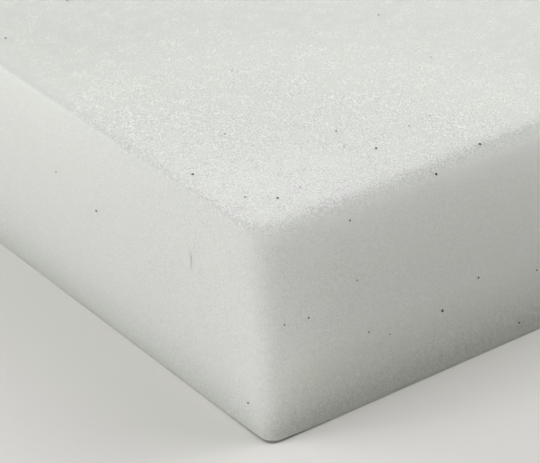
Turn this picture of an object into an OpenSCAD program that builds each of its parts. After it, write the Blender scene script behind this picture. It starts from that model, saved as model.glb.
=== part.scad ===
// Foam block: a rectangular slab knife-cut from a bun of fine-celled flexible polyurethane foam.
// One solid piece. Millimetres, +Z up, the origin in the middle of the underside.
// The knife leaves flat faces, slightly rounded arrises, soft upright corners and a few burst bubbles.

/* [Block] */
// Length along X
block_l = 200; // [60:1:600]
// Width along Y
block_w = 150; // [60:1:400]
// Thickness along Z
block_t = 50; // [20:1:150]

/* [Edges] */
// Radius of the four upright corners, seen from above
corner_r = 4; // [3:0.5:10]
// Radius of the arris round the top face
top_edge_r = 2; // [0.4:0.1:2.8]
// Radius of the arris round the underside
base_edge_r = 0.5; // [0.4:0.1:2.8]

/* [Burst bubbles] */
// Radius of a large bubble
large_bubble_r = 0.3; // [0.2:0.05:0.8]
// Radius of a small bubble
small_bubble_r = 0.2; // [0.1:0.05:0.5]
// How far a bubble's centre lies under the cut face, as a share of its radius
bubble_sink = 0.3; // [0:0.1:0.8]

/* [Knife nick] */
// Height of the nick in the end wall
nick_h = 4; // [2:0.5:12]
// Width of its mouth
nick_w = 0.2; // [0.2:0.05:0.8]
// Depth into the foam
nick_depth = 1; // [0.5:0.1:4]

/* [Hidden] */
$fn = 64;
// A bubble is too small to need as many facets
bubble_fn = 24;
foam_white = [0.85, 0.86, 0.84];

// Stretches of the walls that lie between the upright corners
straight_l = block_l - 2 * corner_r;
straight_w = block_w - 2 * corner_r;

// Where bubbles burst in each face, as shares of its length and of its width or height, both
// counted from the front left corner and the underside
top_large = [[0.038, 0.731], [0.2, 0.098], [0.022, 0.2], [0.06, 0.071], [0.29, 0.017]];
top_small = [[0.188, 0.423], [0.191, 0.173], [0.257, 0.12], [0.036, 0.102], [0.098, 0.267]];
front_large = [[0.225, 0.972], [0.131, 0.352], [0.277, 0.39], [0.333, 0.078]];
front_small = [[0.11, 0.916], [0.117, 0.624], [0.055, 0.54], [0.228, 0.302]];
end_large = [[0.419, 0.568], [0.049, 0.142]];
end_small = [[0.525, 0.624]];
nick_place = [0.173, 0.656];

// What a radius takes off a square corner: the corner less its quarter circle
module arris(r) {
    difference() {
        square(r);
        circle(r = r);
    }
}

// Upright section of the block over a given span, with its arrises rounded
module slab_section(span) {
    difference() {
        translate([-span / 2, 0]) square([span, block_t]);
        for (side = [0, 1])
            mirror([side, 0]) {
                translate([span / 2 - top_edge_r, block_t - top_edge_r]) arris(top_edge_r);
                translate([span / 2 - base_edge_r, base_edge_r]) mirror([0, 1]) arris(base_edge_r);
            }
    }
}

// The rounded section, run straight along X and along Y
module slab_along_x() {
    translate([-straight_l / 2, 0, 0]) rotate([90, 0, 90]) linear_extrude(height = straight_l)
        slab_section(block_w);
}
module slab_along_y() {
    translate([0, straight_w / 2, 0]) rotate([90, 0, 0]) linear_extrude(height = straight_w)
        slab_section(block_l);
}

// The same section turned about an upright corner's axis
module corner_post() {
    rotate_extrude()
        intersection() {
            slab_section(2 * corner_r);
            square([corner_r, block_t]);
        }
}

// A bubble whose wall the knife opened, with the cut face at z = 0
module burst_bubble(r) {
    translate([0, 0, -bubble_sink * r]) sphere(r = r, $fn = bubble_fn);
}

// Carries burst bubbles to a face: x is its length, y its width or height
module burst_bubbles(places, face, r) {
    for (place = places)
        translate([place.x * face.x, place.y * face.y, 0]) burst_bubble(r);
}

// Moves what is drawn on z = 0 from the front left corner to each face
module on_top() {
    translate([-block_l / 2, -block_w / 2, block_t]) children();
}
module on_front() {
    translate([-block_l / 2, -block_w / 2, 0]) rotate([90, 0, 0]) children();
}
module on_end() {
    translate([-block_l / 2, -block_w / 2, 0]) rotate([90, 0, -90]) mirror([1, 0, 0]) children();
}

// The slit that the knife's tip left in the end wall
module knife_nick() {
    face = [block_w, block_t];
    translate([nick_place.x * face.x, nick_place.y * face.y, 0])
        cube([nick_w, nick_h, 2 * nick_depth], center = true);
}

module foam_block() {
    color(foam_white)
        difference() {
            union() {
                slab_along_x();
                slab_along_y();
                for (x = [-1, 1], y = [-1, 1])
                    translate([x * straight_l / 2, y * straight_w / 2, 0]) corner_post();
            }
            on_top() {
                burst_bubbles(top_large, [block_l, block_w], large_bubble_r);
                burst_bubbles(top_small, [block_l, block_w], small_bubble_r);
            }
            on_front() {
                burst_bubbles(front_large, [block_l, block_t], large_bubble_r);
                burst_bubbles(front_small, [block_l, block_t], small_bubble_r);
            }
            on_end() {
                burst_bubbles(end_large, [block_w, block_t], large_bubble_r);
                burst_bubbles(end_small, [block_w, block_t], small_bubble_r);
                knife_nick();
            }
        }
}

foam_block();
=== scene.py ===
from math import cos, radians, sin

import bpy
from mathutils import Matrix, Vector


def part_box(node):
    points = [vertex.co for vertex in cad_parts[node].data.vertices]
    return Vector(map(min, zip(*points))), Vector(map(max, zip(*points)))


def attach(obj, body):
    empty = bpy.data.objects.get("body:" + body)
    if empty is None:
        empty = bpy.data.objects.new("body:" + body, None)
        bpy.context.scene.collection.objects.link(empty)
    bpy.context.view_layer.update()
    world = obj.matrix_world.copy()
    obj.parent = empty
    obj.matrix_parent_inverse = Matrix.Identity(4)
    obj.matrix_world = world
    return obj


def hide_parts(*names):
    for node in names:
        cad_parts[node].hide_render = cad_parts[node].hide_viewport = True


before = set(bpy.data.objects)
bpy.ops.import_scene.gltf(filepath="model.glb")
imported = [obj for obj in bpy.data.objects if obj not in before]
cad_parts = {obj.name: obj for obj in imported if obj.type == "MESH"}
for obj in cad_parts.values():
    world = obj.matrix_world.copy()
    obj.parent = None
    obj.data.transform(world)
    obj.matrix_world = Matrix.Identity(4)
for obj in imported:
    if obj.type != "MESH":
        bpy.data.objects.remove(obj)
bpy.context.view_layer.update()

# ---------------------------------------------------------------------------------------------
# The slab. One piece of flexible polyurethane foam, cut from the bun by a knife on every face.
# The blade leaves flat faces with a faint wave, ragged arrises where the cells tear, and soft
# upright corners. Here and there it opens a bubble, and one thin nick marks the end wall.
# ---------------------------------------------------------------------------------------------
MM = 0.001
low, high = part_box("foam_block")
slab_sizes = {
    "Length": high.x - low.x,
    "Width": high.y - low.y,
    "Thickness": high.z - low.z,
    # The upright corners get rounder with a power of the height
    "Corner Radius At Top": 8.0 * MM,
    "Corner Radius At Base": 2.8 * MM,
    "Corner Swell": 0.6,
    # The arrises round the top and the underside
    "Top Arris Radius": 1.8 * MM,
    "Front Arris Radius": 4.1 * MM,
    "Base Arris Radius": 0.2 * MM,
    # How high the foot of the near corner lifts, and how far from it the lift fades
    "Curl Height": 0.85 * MM,
    "Curl Reach": 9.0 * MM,
    # The mesh's grid, and the band along each edge where it is finer
    "Mesh Pitch": 1.05 * MM,
    "Edge Band": 6.0 * MM,
    "Edge Gain": 0.85,
    # The blade's wave over each face, and the tearing along each arris
    "Wave Length": 28.0 * MM,
    "Wave Height": 0.15 * MM,
    "Torn Band": 0.9 * MM,
    "Torn Grain": 1.3 * MM,
    "Torn Depth": 0.22 * MM,
    # The bubbles: placed ones lie within this reach of the near corner, scattered ones past it.
    # A ball sinks by a share of its half width, and its skin is ruffled
    "Placed Reach": 112.0 * MM,
    "Bubbles Per Square Metre": 2200.0,
    "Smallest Bubble": 0.18 * MM,
    "Largest Bubble": 0.34 * MM,
    "Bubble Sink": 0.5,
    "Bubble Ruffle": 0.1 * MM,
}
# Places in millimetres from the near corner: along, across or up, and the bubble's radius
top_bubbles = [(7.6, 109.6, 0.28), (37.6, 63.4, 0.2), (74.9, 40.3, 0.2), (38.2, 26.0, 0.26),
               (35.3, 19.4, 0.2), (40.1, 14.7, 0.34), (51.4, 18.0, 0.22), (57.5, 18.7, 0.2),
               (4.4, 30.0, 0.34), (7.2, 15.3, 0.26), (12.0, 10.7, 0.32), (18.2, 11.4, 0.2),
               (19.5, 40.1, 0.24), (58.1, 2.6, 0.32)]
end_bubbles = [(78.8, 31.2, 0.22), (62.8, 28.4, 0.3), (7.4, 7.1, 0.26)]
front_bubbles = [(44.9, 48.6, 0.32), (22.1, 45.8, 0.24), (23.4, 31.2, 0.2), (11.0, 27.0, 0.24),
                 (5.0, 27.6, 0.18), (26.1, 17.6, 0.22), (31.5, 14.9, 0.18), (45.6, 15.1, 0.3),
                 (55.4, 19.5, 0.26), (66.6, 3.9, 0.3), (71.5, 15.3, 0.22)]
# The nick in the end wall: its place across and up, then its half depth, half width, half height
nick_at = (25.9, 32.8)
nick_half = (0.15, 0.005, 2.6)


def add(tree, kind, inputs=None, **settings):
    """Adds a node. An input is given by name or number, as a value, a socket or another node."""
    made = tree.nodes.new(kind)
    for name, value in settings.items():
        setattr(made, name, value)
    for name, value in (inputs or {}).items():
        socket = made.inputs[name]
        if isinstance(name, str):
            socket = next(s for s in made.inputs if s.name == name and s.enabled)
        if isinstance(value, bpy.types.Node):
            value = next(s for s in value.outputs if s.enabled)
        if isinstance(value, bpy.types.NodeSocket):
            tree.links.new(value, socket)
        else:
            socket.default_value = value
    return made


MATH = "ShaderNodeMath"
VECTOR = "ShaderNodeVectorMath"
SPLIT = "ShaderNodeSeparateXYZ"
JOIN = "ShaderNodeCombineXYZ"
RANGE = "ShaderNodeMapRange"
NOISE = "ShaderNodeTexNoise"
MIX = "ShaderNodeMix"


def srgb(code):
    """Linear colour of an sRGB hex code."""
    parts = [int(code[i:i + 2], 16) / 255 for i in (1, 3, 5)]
    return [p / 12.92 if p <= 0.04045 else ((p + 0.055) / 1.055) ** 2.4 for p in parts] + [1.0]


# Flexible polyurethane foam, cut by a knife. Light sinks in and comes out a centimetre or more
# away, which softens every shade. The opened cells leave bright rims round darker hollows, and
# thin struts give hardly any sheen. The dark of the hollows is partly painted shade, and the
# stronger grain on the top partly painted glints and shade of light grazing it. The walls are
# smoother and more even than the top.
foam = bpy.data.materials.new("polyurethane foam, knife-cut")
foam.use_nodes = True
foam_shader = foam.node_tree.nodes["Principled BSDF"]
foam_shader.inputs["Roughness"].default_value = 0.6
foam_shader.inputs["Specular IOR Level"].default_value = 0.15
foam_shader.inputs["Subsurface Radius"].default_value = (1.0, 1.0, 1.0)
foam_shader.inputs["Subsurface Scale"].default_value = 18.0 * MM
# Tones: white rims; hollows partly painted shade; torn tone painted light; foot tone painted
# shade
foam_rim = srgb("#F9FFF5")
hollow_tone_painted_shade = srgb("#D3D5CF")
torn_tone_painted_glow = srgb("#F8FFF1")
foot_tone_painted_shade = srgb("#CAC9C4")
grain = foam.node_tree
where = add(grain, "ShaderNodeTexCoord").outputs["Object"]
above_base = add(grain, SPLIT, {0: where}).outputs["Z"]
facing = add(grain, SPLIT, {0: add(grain, "ShaderNodeNewGeometry").outputs["Normal"]})
level = add(grain, MATH, {0: facing.outputs["Z"]}, operation="ABSOLUTE")
off_level = add(grain, MATH, {0: 1.0, 1: level}, operation="SUBTRACT")
front = add(grain, MATH, {0: 0.0, 1: facing.outputs["Y"]}, operation="SUBTRACT", use_clamp=True)
off_front = add(grain, MATH, {0: 1.0, 1: front}, operation="SUBTRACT", use_clamp=True)
torn_here = add(grain, "ShaderNodeAttribute", attribute_name="torn").outputs["Fac"]
near_top_corner = Vector((low.x, low.y, high.z))
corner_away = add(grain, VECTOR, {0: where, 1: near_top_corner},
                  operation="DISTANCE").outputs["Value"]

# Light spreads less in the thin rim just above the floor
spread_at_base = 0.4
spread_rise = (0.5 * MM, 6.0 * MM)
spread = add(grain, RANGE, {"Value": above_base, "From Min": spread_rise[0],
                            "From Max": spread_rise[1], "To Min": spread_at_base, "To Max": 1.0})
grain.links.new(spread.outputs[0], foam_shader.inputs["Subsurface Weight"])

# The cells, at the fine end of their real 0.6 to 1 mm. Noise crosses its middle along the rims
cell_width = 0.6 * MM
cell_twist = 0.4
noise_middle = 0.5
noise_span = (0.3, 0.7)
rim_sharpness = 10.0
cells = add(grain, NOISE, {"Vector": where, "Scale": 1 / cell_width, "Detail": 1.0,
                           "Distortion": cell_twist})
from_rim = add(grain, MATH, {0: add(grain, MATH, {0: cells, 1: noise_middle},
                                    operation="SUBTRACT")}, operation="ABSOLUTE")
hollow = add(grain, MATH, {0: from_rim, 1: rim_sharpness}, operation="MULTIPLY", use_clamp=True)

# The cells open wider in patches, and more so round the near corner
patch_width = 3.5 * MM
patch_gain = (0.35, 1.75)
opened_reach = (15.0 * MM, 80.0 * MM)
opened_gain = (1.5, 0.47)
patches = add(grain, NOISE, {"Vector": where, "Scale": 1 / patch_width})
patch = add(grain, RANGE, {"Value": patches, "From Min": noise_span[0],
                           "From Max": noise_span[1], "To Min": patch_gain[0],
                           "To Max": patch_gain[1]})
opened = add(grain, RANGE, {"Value": corner_away, "From Min": opened_reach[0],
                            "From Max": opened_reach[1], "To Min": opened_gain[0],
                            "To Max": opened_gain[1]})

# The hollows sink below their rims, by less on the walls than on the top
wall_to_top = (0.4, 0.85)
wall_relief = 0.3
cell_depth = 0.35 * MM
relief = add(grain, RANGE, {"Value": level, "From Min": wall_to_top[0],
                            "From Max": wall_to_top[1], "To Min": wall_relief, "To Max": 1.0})
opened_relief = add(grain, MATH, {0: relief, 1: opened}, operation="MULTIPLY", use_clamp=True)
cups = add(grain, "ShaderNodeBump", {"Strength": opened_relief, "Distance": cell_depth,
                                     "Height": hollow}, invert=True)
grain.links.new(cups.outputs[0], foam_shader.inputs["Normal"])

# How much of a spot takes the darker hollow tone: an even share, which is small on the walls and
# grows along the arrises and over the top away from the near corner, and the cells' own pattern
# about it. The even share is painted light and shade: lighter on the walls, darker over the top
# away from the near corner and along the arrises other than the front wall's. The pattern's
# gain, stronger on the top, stands for painted glints and shade of the light grazing the top.
hollow_mean = 0.76
wall_contrast = 0.4
even_reach = (25.0 * MM, 100.0 * MM)
even_share_wall = 0.14
even_share_top = (0.3, 1.04)
arris_fade = 0.22
arris_shade_share = 0.26
grain_and_glint_contrast = add(grain, RANGE, {"Value": level, "From Min": wall_to_top[0],
                              "From Max": wall_to_top[1], "To Min": wall_contrast, "To Max": 1.0})
gain = add(grain, MATH, {0: add(grain, MATH, {0: patch, 1: opened}, operation="MULTIPLY"),
                         1: grain_and_glint_contrast}, operation="MULTIPLY")
even_top = add(grain, RANGE, {"Value": corner_away, "From Min": even_reach[0],
                              "From Max": even_reach[1], "To Min": even_share_top[0],
                              "To Max": even_share_top[1]})
even = add(grain, RANGE, {"Value": level, "From Min": wall_to_top[0], "From Max": wall_to_top[1],
                          "To Min": even_share_wall, "To Max": even_top})
# Along the arrises other than the front wall's the hollow share grows: painted shade of torn
# cells
near_arris = add(grain, MATH, {0: torn_here, 1: arris_fade}, operation="POWER")
arris_painted_shade = add(grain, MATH, {0: near_arris, 1: off_front}, operation="MULTIPLY")
even_here = add(grain, MATH, {0: arris_painted_shade, 1: arris_shade_share, 2: even},
                operation="MULTIPLY_ADD")
uneven = add(grain, MATH, {0: hollow, 1: hollow_mean}, operation="SUBTRACT")
hollow_and_shade_share = add(grain, MATH, {0: uneven, 1: gain, 2: even_here}, operation="MULTIPLY_ADD",
                   use_clamp=True)
cells_with_painted_shade = add(grain, MIX, {"Factor": hollow_and_shade_share, "A": foam_rim, "B": hollow_tone_painted_shade},
                data_type="RGBA")

# Under the top arris a pale tone shows in ragged bits along the torn cells, most of all on the
# front wall: painted light from the bright top that comes through the foam onto the walls
torn_fade = 0.35
glow_off_front = 0.25
torn_bit = 1.5 * MM
torn_span = (0.2, 0.65)
torn_least = 0.1
torn_wide = add(grain, MATH, {0: torn_here, 1: torn_fade}, operation="POWER")
glow_side = add(grain, RANGE, {"Value": front, "To Min": glow_off_front, "To Max": 1.0})
glow_on_wall = add(grain, MATH, {0: add(grain, MATH, {0: torn_wide, 1: off_level},
                                     operation="MULTIPLY"), 1: glow_side}, operation="MULTIPLY")
ragged = add(grain, NOISE, {"Vector": where, "Scale": 1 / torn_bit, "Detail": 2.0})
ragged_share = add(grain, RANGE, {"Value": ragged, "From Min": torn_span[0],
                                  "From Max": torn_span[1], "To Min": torn_least})
glow_share = add(grain, MATH, {0: glow_on_wall, 1: ragged_share}, operation="MULTIPLY")
tone_with_painted_glow = add(grain, MIX, {"Factor": glow_share, "A": cells_with_painted_shade, "B": torn_tone_painted_glow},
                 data_type="RGBA")

# The front wall is darker towards its foot, in ragged bits, and less so at the floor: painted
# shade where little light reaches the foot of this wall, partly the rougher cells there
foot_rise = 20.0 * MM
foot_most = 0.6
foot_bit = 0.4 * MM
foot_gain = (0.5, 1.5)
floor_rise = 3.0 * MM
floor_share = 0.35
foot = add(grain, RANGE, {"Value": above_base, "From Min": 0.0, "From Max": foot_rise,
                          "To Min": foot_most, "To Max": 0.0})
foot_noise = add(grain, NOISE, {"Vector": where, "Scale": 1 / foot_bit, "Detail": 2.0})
foot_bits = add(grain, RANGE, {"Value": foot_noise, "From Min": noise_span[0],
                               "From Max": noise_span[1], "To Min": foot_gain[0],
                               "To Max": foot_gain[1]})
off_floor = add(grain, RANGE, {"Value": above_base, "From Min": 0.0, "From Max": floor_rise,
                               "To Min": floor_share, "To Max": 1.0})
front_foot_shade = add(grain, MATH, {0: add(grain, MATH, {0: foot, 1: off_floor},
                                      operation="MULTIPLY"), 1: front}, operation="MULTIPLY")
foot_shade_share = add(grain, MATH, {0: front_foot_shade, 1: foot_bits}, operation="MULTIPLY", use_clamp=True)
tone = add(grain, MIX, {"Factor": foot_shade_share, "A": tone_with_painted_glow, "B": foot_tone_painted_shade}, data_type="RGBA")
grain.links.new(next(s for s in tone.outputs if s.enabled), foam_shader.inputs["Base Color"])

# The same foam in the skin of a burst bubble, in a dark grey that is painted shade: a narrow
# mouth lets little light back out, so that it looks like a dark speck
bubble_painted_shade = bpy.data.materials.new("burst bubble, painted shade")
bubble_painted_shade.use_nodes = True
bubble_painted_shade.node_tree.nodes["Principled BSDF"].inputs["Base Color"].default_value = srgb("#4A4B46")
bubble_painted_shade.node_tree.nodes["Principled BSDF"].inputs["Roughness"].default_value = 0.9

slab = bpy.data.node_groups.new("knife-cut slab", "GeometryNodeTree")
slab.interface.new_socket("Bubbles", in_out="INPUT", socket_type="NodeSocketGeometry")
for name in slab_sizes:
    slab.interface.new_socket(name, in_out="INPUT", socket_type="NodeSocketFloat")
slab.interface.new_socket("Slab", in_out="OUTPUT", socket_type="NodeSocketGeometry")
given = slab.nodes.new("NodeGroupInput").outputs

# A box with an even grid on every face
size = add(slab, JOIN, {"X": given["Length"], "Y": given["Width"], "Z": given["Thickness"]})
half = add(slab, VECTOR, {0: size, "Scale": 0.5}, operation="SCALE")
half_up = add(slab, SPLIT, {0: half}).outputs["Z"]
pitch = add(slab, JOIN, {axis: given["Mesh Pitch"] for axis in "XYZ"})
steps = add(slab, SPLIT, {0: add(slab, VECTOR, {0: size, 1: pitch}, operation="DIVIDE")})
box = add(slab, "GeometryNodeMeshCube", {"Size": size} | {
    "Vertices " + axis: steps.outputs[axis] for axis in "XYZ"})

# The grid lines crowd towards every edge, so that the arrises have points enough to curve
place = add(slab, "GeometryNodeInputPosition")
place_on = add(slab, SPLIT, {0: place})
side = add(slab, VECTOR, {0: place}, operation="SIGN")
flat_reach = add(slab, VECTOR, {0: place}, operation="ABSOLUTE")
gap = add(slab, SPLIT, {0: add(slab, VECTOR, {0: half, 1: flat_reach}, operation="SUBTRACT")})
crowding = {}
for axis in "XYZ":
    bands = add(slab, MATH, {0: gap.outputs[axis], 1: given["Edge Band"]}, operation="DIVIDE")
    fall = add(slab, MATH, {0: add(slab, MATH, {0: 0.0, 1: bands}, operation="SUBTRACT")},
               operation="EXPONENT")
    pull = add(slab, MATH, {0: fall, 1: given["Edge Gain"]}, operation="MULTIPLY")
    crowding[axis] = add(slab, MATH, {0: gap.outputs[axis], 1: pull}, operation="MULTIPLY")
reach = add(slab, VECTOR, {0: flat_reach, 1: add(slab, JOIN, crowding)}, operation="ADD")
reach_up = add(slab, SPLIT, {0: reach}).outputs["Z"]

# How torn the cells are: 1 on an arris, falling to nothing a little way into each face
face_gap = add(slab, SPLIT, {0: add(slab, VECTOR, {0: half, 1: reach}, operation="SUBTRACT")})
near_wall = add(slab, MATH, {0: face_gap.outputs["X"], 1: face_gap.outputs["Y"]},
                operation="MINIMUM")
from_arris = add(slab, MATH, {0: near_wall, 1: face_gap.outputs["Z"]}, operation="ADD")
torn_bands = add(slab, MATH, {0: from_arris, 1: given["Torn Band"]}, operation="DIVIDE")
torn_fall = add(slab, MATH, {0: add(slab, MATH, {0: 0.0, 1: torn_bands}, operation="SUBTRACT")},
                operation="EXPONENT")
tagged = add(slab, "GeometryNodeStoreNamedAttribute", {
    "Geometry": box, "Name": "torn", "Value": torn_fall})

# The upright corners: the square corner of each ring is drawn in to a quarter circle, which
# gets rounder towards the top
from_base = add(slab, MATH, {0: place_on.outputs["Z"], 1: half_up}, operation="ADD")
base_share = add(slab, MATH, {0: from_base, 1: given["Thickness"]}, operation="DIVIDE")
swell = add(slab, MATH, {0: base_share, 1: given["Corner Swell"]}, operation="POWER")
corner_r = add(slab, MIX, {"Factor": swell, "A": given["Corner Radius At Base"],
                           "B": given["Corner Radius At Top"]})
corner_axis = add(slab, VECTOR, {0: half, 1: add(slab, JOIN, {"X": corner_r, "Y": corner_r})},
                  operation="SUBTRACT")
past_axis = add(slab, SPLIT, {0: add(slab, VECTOR, {0: add(slab, VECTOR, {
    0: reach, 1: corner_axis}, operation="SUBTRACT"), 1: (0.0, 0.0, 0.0)}, operation="MAXIMUM")})
outward = add(slab, VECTOR, {0: add(slab, JOIN, {
    "X": past_axis.outputs["X"], "Y": past_axis.outputs["Y"]})}, operation="NORMALIZE")
ring = add(slab, MATH, {0: past_axis.outputs["X"], 1: past_axis.outputs["Y"]},
           operation="MAXIMUM")

# The arrises: where a wall meets the top or the underside, the edge is drawn in to an arc,
# which is rounder over the front wall
is_top = add(slab, MATH, {0: place_on.outputs["Z"], 1: 0.0}, operation="GREATER_THAN")
is_front = add(slab, MATH, {0: place_on.outputs["Y"], 1: 0.0}, operation="LESS_THAN")
front_share = add(slab, MATH, {0: add(slab, SPLIT, {0: outward}).outputs["Y"], 1: is_front},
                  operation="MULTIPLY")
top_r = add(slab, MIX, {"Factor": front_share, "A": given["Top Arris Radius"],
                        "B": given["Front Arris Radius"]})
arris_r = add(slab, MIX, {"Factor": is_top, "A": given["Base Arris Radius"], "B": top_r})
arc_out = add(slab, MATH, {0: corner_r, 1: arris_r}, operation="SUBTRACT")
arc_up = add(slab, MATH, {0: half_up, 1: arris_r}, operation="SUBTRACT")
past_out = add(slab, MATH, {0: add(slab, MATH, {0: ring, 1: arc_out}, operation="SUBTRACT"),
                            1: 0.0}, operation="MAXIMUM")
past_up = add(slab, MATH, {0: add(slab, MATH, {0: reach_up, 1: arc_up}, operation="SUBTRACT"),
                           1: 0.0}, operation="MAXIMUM")
diagonal = add(slab, VECTOR, {0: add(slab, JOIN, {"X": past_out, "Y": past_up})},
               operation="LENGTH").outputs["Value"]
draw_in = add(slab, MATH, {0: add(slab, MATH, {0: arris_r, 1: diagonal}, operation="DIVIDE"),
                           1: 1.0}, operation="SUBTRACT")
ring_drawn = add(slab, MATH, {0: past_out, 1: draw_in, 2: ring}, operation="MULTIPLY_ADD")
rise_drawn = add(slab, MATH, {0: past_up, 1: draw_in, 2: reach_up}, operation="MULTIPLY_ADD")
inner = add(slab, SPLIT, {0: add(slab, VECTOR, {0: reach, 1: corner_axis}, operation="MINIMUM")})
inner_at = add(slab, JOIN, {"X": inner.outputs["X"], "Y": inner.outputs["Y"], "Z": rise_drawn})
drawn = add(slab, VECTOR, {0: add(slab, VECTOR, {0: outward, "Scale": ring_drawn},
                                  operation="SCALE"), 1: inner_at}, operation="ADD")
turned_out = add(slab, VECTOR, {0: drawn, 1: side}, operation="MULTIPLY")

# The slab is raised to stand on its underside, and the foot of the near corner lifts a little
near_foot_at = add(slab, VECTOR, {0: half, 1: (-1.0, -1.0, -1.0)}, operation="MULTIPLY")
from_foot = add(slab, VECTOR, {0: turned_out, 1: near_foot_at}, operation="DISTANCE")
reaches = add(slab, MATH, {0: from_foot.outputs["Value"], 1: given["Curl Reach"]},
              operation="DIVIDE")
curl_fall = add(slab, MATH, {0: add(slab, MATH, {0: 0.0, 1: reaches}, operation="SUBTRACT")},
                operation="EXPONENT")
curl = add(slab, MATH, {0: curl_fall, 1: given["Curl Height"]}, operation="MULTIPLY")
stand = add(slab, MATH, {0: half_up, 1: curl}, operation="ADD")
lifted = add(slab, VECTOR, {0: turned_out, 1: add(slab, JOIN, {"Z": stand})}, operation="ADD")
rounded = add(slab, "GeometryNodeSetPosition", {"Geometry": tagged, "Position": lifted})

# The blade's wave over the whole face, and the tearing along the arrises, which takes away more
# than it leaves proud and fades towards the base. Nothing goes below the floor
tear_middle = 0.75
spot = add(slab, "GeometryNodeInputPosition")
wave_scale = add(slab, MATH, {0: 1.0, 1: given["Wave Length"]}, operation="DIVIDE")
wave = add(slab, NOISE, {"Vector": spot, "Scale": wave_scale, "Detail": 1.0})
torn_scale = add(slab, MATH, {0: 1.0, 1: given["Torn Grain"]}, operation="DIVIDE")
tear = add(slab, NOISE, {"Vector": spot, "Scale": torn_scale, "Detail": 2.0})
torn = add(slab, "GeometryNodeInputNamedAttribute", {"Name": "torn"})
wave_lift = add(slab, MATH, {0: add(slab, MATH, {0: wave, 1: noise_middle},
                                    operation="SUBTRACT"), 1: given["Wave Height"]},
                operation="MULTIPLY")
tear_lift = add(slab, MATH, {0: add(slab, MATH, {0: tear, 1: tear_middle},
                                    operation="SUBTRACT"), 1: given["Torn Depth"]},
                operation="MULTIPLY")
rise_share = add(slab, MATH, {0: add(slab, SPLIT, {0: spot}).outputs["Z"],
                              1: given["Thickness"]}, operation="DIVIDE")
tear_here = add(slab, MATH, {0: tear_lift, 1: torn}, operation="MULTIPLY")
lift = add(slab, MATH, {0: tear_here, 1: rise_share, 2: wave_lift}, operation="MULTIPLY_ADD")
outwards = add(slab, "GeometryNodeInputNormal")
offset = add(slab, VECTOR, {0: outwards, "Scale": lift}, operation="SCALE")
above_floor = add(slab, VECTOR, {0: add(slab, VECTOR, {0: spot, 1: offset}, operation="ADD"),
                                 1: (-1.0, -1.0, 0.0)}, operation="MAXIMUM")
cut_faces = add(slab, "GeometryNodeSetPosition", {"Geometry": rounded, "Position": above_floor})
smooth = add(slab, "GeometryNodeSetShadeSmooth", {"Geometry": cut_faces, "Shade Smooth": True})
soft = add(slab, "GeometryNodeSetMaterial", {"Geometry": smooth, "Material": foam})

# Bubbles beyond the listed ones are scattered over the rest of the faces
scatter_seed = 7
radius_seed = 3
facing_down = -0.5
near_corner_at = add(slab, VECTOR, {0: half, 1: (-1.0, -1.0, 0.0)}, operation="MULTIPLY")
from_corner = add(slab, VECTOR, {0: spot, 1: near_corner_at}, operation="DISTANCE")
is_far = add(slab, MATH, {0: from_corner.outputs["Value"], 1: given["Placed Reach"]},
             operation="GREATER_THAN")
underside = add(slab, MATH, {0: add(slab, SPLIT, {0: outwards}).outputs["Z"], 1: facing_down},
                operation="LESS_THAN")
is_free = add(slab, MATH, {0: is_far, 1: underside}, operation="MAXIMUM")
scattered = add(slab, "GeometryNodeDistributePointsOnFaces", {
    "Mesh": soft, "Selection": is_free, "Density": given["Bubbles Per Square Metre"],
    "Seed": scatter_seed})
radius = add(slab, "FunctionNodeRandomValue", {
    "Min": given["Smallest Bubble"], "Max": given["Largest Bubble"], "Seed": radius_seed})
radii = add(slab, JOIN, {axis: radius for axis in "XYZ"})
sized = add(slab, "GeometryNodeStoreNamedAttribute", {
    "Geometry": scattered, "Name": "half_size", 3: radii}, data_type="FLOAT_VECTOR")
every = slab.nodes.new("GeometryNodeJoinGeometry")
slab.links.new(given["Bubbles"], every.inputs[0])
slab.links.new(sized.outputs[0], every.inputs[0])

# Each bubble is a ball, sunk a little below the face, and the nick a thin upright lens
half_size = add(slab, "GeometryNodeInputNamedAttribute", {"Name": "half_size"},
                data_type="FLOAT_VECTOR")
on_face = add(slab, "GeometryNodeProximity", {"Geometry": soft, "Sample Position": spot},
              target_element="FACES")
face_normal = add(slab, "GeometryNodeSampleNearestSurface", {
    "Mesh": soft, "Value": outwards, "Sample Position": spot}, data_type="FLOAT_VECTOR")
half_sides = add(slab, SPLIT, {0: half_size})
thinnest = add(slab, MATH, {0: half_sides.outputs["X"], 1: half_sides.outputs["Y"]},
               operation="MINIMUM")
sink = add(slab, MATH, {0: thinnest, 1: given["Bubble Sink"]}, operation="MULTIPLY")
sunk = add(slab, VECTOR, {0: on_face, 1: add(slab, VECTOR, {0: face_normal, "Scale": sink},
                                             operation="SCALE")}, operation="SUBTRACT")
seated = add(slab, "GeometryNodeSetPosition", {"Geometry": every, "Position": sunk})
ball = add(slab, "GeometryNodeSetMaterial", {"Geometry": add(
    slab, "GeometryNodeMeshIcoSphere", {"Radius": 1.0, "Subdivisions": 2}), "Material": bubble_painted_shade})
balls = add(slab, "GeometryNodeRealizeInstances", {"Geometry": add(
    slab, "GeometryNodeInstanceOnPoints", {"Points": seated, "Instance": ball,
                                           "Scale": half_size})})
ruffle_steepness = 0.3
ruffle_scale = add(slab, MATH, {0: ruffle_steepness, 1: given["Bubble Ruffle"]},
                   operation="DIVIDE")
ruffle = add(slab, NOISE, {"Vector": spot, "Scale": ruffle_scale})
ruffle_at = add(slab, VECTOR, {0: ruffle.outputs["Color"], 1: (noise_middle,) * 3},
                operation="SUBTRACT")
ruffle_by = add(slab, VECTOR, {0: ruffle_at, "Scale": given["Bubble Ruffle"]}, operation="SCALE")
ruffled = add(slab, "GeometryNodeSetPosition", {"Geometry": balls, "Offset": ruffle_by})

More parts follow.
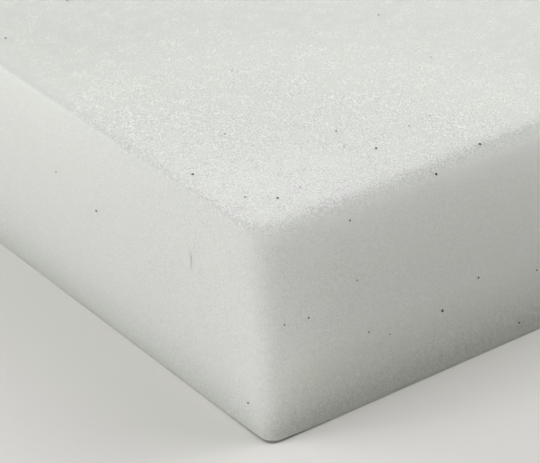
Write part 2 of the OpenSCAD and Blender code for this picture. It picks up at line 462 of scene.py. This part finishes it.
# The balls are cut out of the slab, and each mouth keeps a crisp lip. The cut leaves no value of
# the tearing on the points that it makes, so the whole slab takes it from the uncut one
lip_angle = 0.7
marked = add(slab, "GeometryNodeStoreNamedAttribute", {
    "Geometry": ruffled, "Name": "pore", "Value": True}, data_type="BOOLEAN", domain="FACE")
burst = add(slab, "GeometryNodeMeshBoolean", {"Mesh 1": soft, "Mesh 2": marked},
            operation="DIFFERENCE", solver="MANIFOLD")
steep = add(slab, MATH, {0: add(slab, "GeometryNodeInputMeshEdgeAngle"), 1: lip_angle},
            operation="GREATER_THAN")
lips = add(slab, "GeometryNodeSetShadeSmooth", {
    "Geometry": burst, "Selection": steep, "Shade Smooth": False}, domain="EDGE")
uncut_torn = add(slab, "GeometryNodeSampleNearestSurface", {
    "Mesh": soft, "Value": torn, "Sample Position": spot})
retagged = add(slab, "GeometryNodeStoreNamedAttribute", {
    "Geometry": lips, "Name": "torn", "Value": uncut_torn})
whole = add(slab, "GeometryNodeRealizeInstances", {"Geometry": retagged})
is_pore = add(slab, "GeometryNodeInputNamedAttribute", {"Name": "pore"}, data_type="BOOLEAN")
# The faces inside the bubbles and the nick take that painted shade
done = add(slab, "GeometryNodeSetMaterial", {"Geometry": whole, "Selection": is_pore,
                                             "Material": bubble_painted_shade})
add(slab, "NodeGroupOutput", {"Slab": done})

# One point for each listed bubble, with its half size along each axis
bubbles = [((low.x + x * MM, low.y + y * MM, high.z), (r * MM,) * 3) for x, y, r in top_bubbles]
bubbles += [((low.x, low.y + y * MM, low.z + z * MM), (r * MM,) * 3) for y, z, r in end_bubbles]
bubbles += [((low.x + x * MM, low.y, low.z + z * MM), (r * MM,) * 3) for x, z, r in front_bubbles]
bubbles.append(((low.x, low.y + nick_at[0] * MM, low.z + nick_at[1] * MM),
                [side_half * MM for side_half in nick_half]))
bubble_mesh = bpy.data.meshes.new("bubble places")
bubble_mesh.from_pydata([at for at, _ in bubbles], [], [])
half_sizes = bubble_mesh.attributes.new("half_size", "FLOAT_VECTOR", "POINT")
for point, (_, half_size_here) in zip(half_sizes.data, bubbles):
    point.vector = half_size_here
block = bpy.data.objects.new("foam_slab", bubble_mesh)
bpy.context.scene.collection.objects.link(block)
cut = block.modifiers.new("knife cut", "NODES")
cut.node_group = slab
for item in slab.interface.items_tree:
    if item.in_out == "INPUT" and item.name in slab_sizes:
        cut[item.identifier] = slab_sizes[item.name]
evaluated = block.evaluated_get(bpy.context.evaluated_depsgraph_get())
block_mesh = bpy.data.meshes.new_from_object(evaluated)
block.modifiers.remove(cut)
block_mesh.materials.pop(index=0)
block.data = block_mesh
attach(block, "root")
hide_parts("foam_block")

# ---------------------------------------------------------------------------------------------
# The floor. A plain sheet of pale paper, much wider than the block, which lies flat under it.
# Matt paper scatters light evenly, so the block's shade on it is soft and nothing mirrors.
# ---------------------------------------------------------------------------------------------
floor_half = 2.0
floor_mesh = bpy.data.meshes.new("floor")
floor_mesh.from_pydata([(-floor_half, -floor_half, 0), (floor_half, -floor_half, 0),
                        (floor_half, floor_half, 0), (-floor_half, floor_half, 0)],
                       [], [(0, 1, 2, 3)])
floor = bpy.data.objects.new("floor", floor_mesh)
bpy.context.scene.collection.objects.link(floor)
paper = bpy.data.materials.new("matt paper")
paper.use_nodes = True
paper.node_tree.nodes["Principled BSDF"].inputs["Base Color"].default_value = srgb("#EAE8E5")
paper.node_tree.nodes["Principled BSDF"].inputs["Roughness"].default_value = 0.8
floor_mesh.materials.append(paper)

# ---------------------------------------------------------------------------------------------
# Light. Soft boxes round the block in a dim room. What the eye meets past the floor is a pale
# backdrop, which sheds no light of its own.
# ---------------------------------------------------------------------------------------------
world = bpy.data.worlds.new("dim room, pale backdrop")
bpy.context.scene.world = world
world.use_nodes = True
room = world.node_tree
dim = room.nodes["Background"]
dim.inputs["Color"].default_value = (1.0, 1.0, 1.0, 1.0)
dim.inputs["Strength"].default_value = 0.03
pale = add(room, "ShaderNodeBackground", {"Color": srgb("#EFEFEC"), "Strength": 1.0})
rays = add(room, "ShaderNodeLightPath")
seen = add(room, MATH, {0: rays.outputs["Is Camera Ray"], 1: rays.outputs["Is Glossy Ray"]},
           operation="MAXIMUM")
seen_through = add(room, MATH, {0: seen, 1: rays.outputs["Is Transmission Ray"]},
                   operation="MAXIMUM")
surround = add(room, "ShaderNodeMixShader", {0: seen_through, 1: dim, 2: pale})
room.links.new(surround.outputs[0], room.nodes["World Output"].inputs["Surface"])

turn = radians(34.32)
level_right = Vector((cos(turn), -sin(turn), 0))
level_ahead = Vector((sin(turn), cos(turn), 0))


def bearing(round_deg, up_deg):
    """A direction from the block: 0 is towards the camera, 90 to its right, 180 behind."""
    flat = level_right * sin(radians(round_deg)) - level_ahead * cos(radians(round_deg))
    return flat * cos(radians(up_deg)) + Vector((0, 0, sin(radians(up_deg))))


def lamp(name, aim, place, size, power):
    """A square soft box at a place as seen from its aim, and turned to it."""
    light = bpy.data.lights.new(name, "AREA")
    light.size = size
    light.energy = power
    holder = bpy.data.objects.new(name, light)
    holder.location = aim + place
    holder.rotation_mode = "QUATERNION"
    holder.rotation_quaternion = (-place).to_track_quat("-Z", "Y")
    holder.visible_camera = False
    bpy.context.scene.collection.objects.link(holder)


# Each soft box stands 1 m off: its bearing and its height in degrees, and its power in watts
middle = Vector((-70.0, -45.0, 30.0)) * MM
soft_box = 0.4
lamp("behind", middle, bearing(170, 30), soft_box, 3.8)
lamp("left, low", middle, bearing(290, 12), soft_box, 2.35)
lamp("left, high", middle, bearing(270, 52), soft_box, 1.95)
lamp("overhead right", middle, bearing(90, 72), soft_box, 1.75)
lamp("overhead left", middle, bearing(270, 72), soft_box, 1.6)
lamp("behind right, high", middle, bearing(110, 52), soft_box, 1.4)
lamp("right, high", middle, bearing(90, 52), soft_box, 1.4)
lamp("behind, low", middle, bearing(170, 12), soft_box, 1.2)

# A small one close to the near corner lifts the shade under it
corner_foot = low + Vector((0.0, 0.0, 12.0)) * MM
small_box = 0.03
small_box_away = 0.05
lamp("corner, low", corner_foot, bearing(352, 10) * small_box_away, small_box, 0.0029)

# ---------------------------------------------------------------------------------------------
# The camera. A long lens looks down on the near corner of the block, with the end wall on the
# left and the front wall on the right, and it is rolled by a few degrees.
# ---------------------------------------------------------------------------------------------
tilt = radians(30.04)
roll = radians(2.65)
distance = 0.6
focal_px = 2912.0
image_px = 540.0
corner_right = -2.015 * MM
corner_up = -44.39 * MM

ahead = level_ahead * cos(tilt) + Vector((0, 0, -sin(tilt)))
up = level_ahead * sin(tilt) + Vector((0, 0, cos(tilt)))
camera = bpy.data.objects.new("camera", bpy.data.cameras.new("camera"))
camera.data.sensor_width = 36.0
camera.data.lens = focal_px / image_px * camera.data.sensor_width
camera.data.clip_end = 20.0
rolled_right = level_right * cos(roll) - up * sin(roll)
rolled_up = up * cos(roll) + level_right * sin(roll)
camera_at = low - level_right * corner_right - up * corner_up - ahead * distance
camera.matrix_world = Matrix.Translation(camera_at) @ Matrix(
    (rolled_right, rolled_up, -ahead)).transposed().to_4x4()
bpy.context.scene.collection.objects.link(camera)
bpy.context.scene.camera = camera
bpy.context.scene.view_settings.view_transform = "Standard"
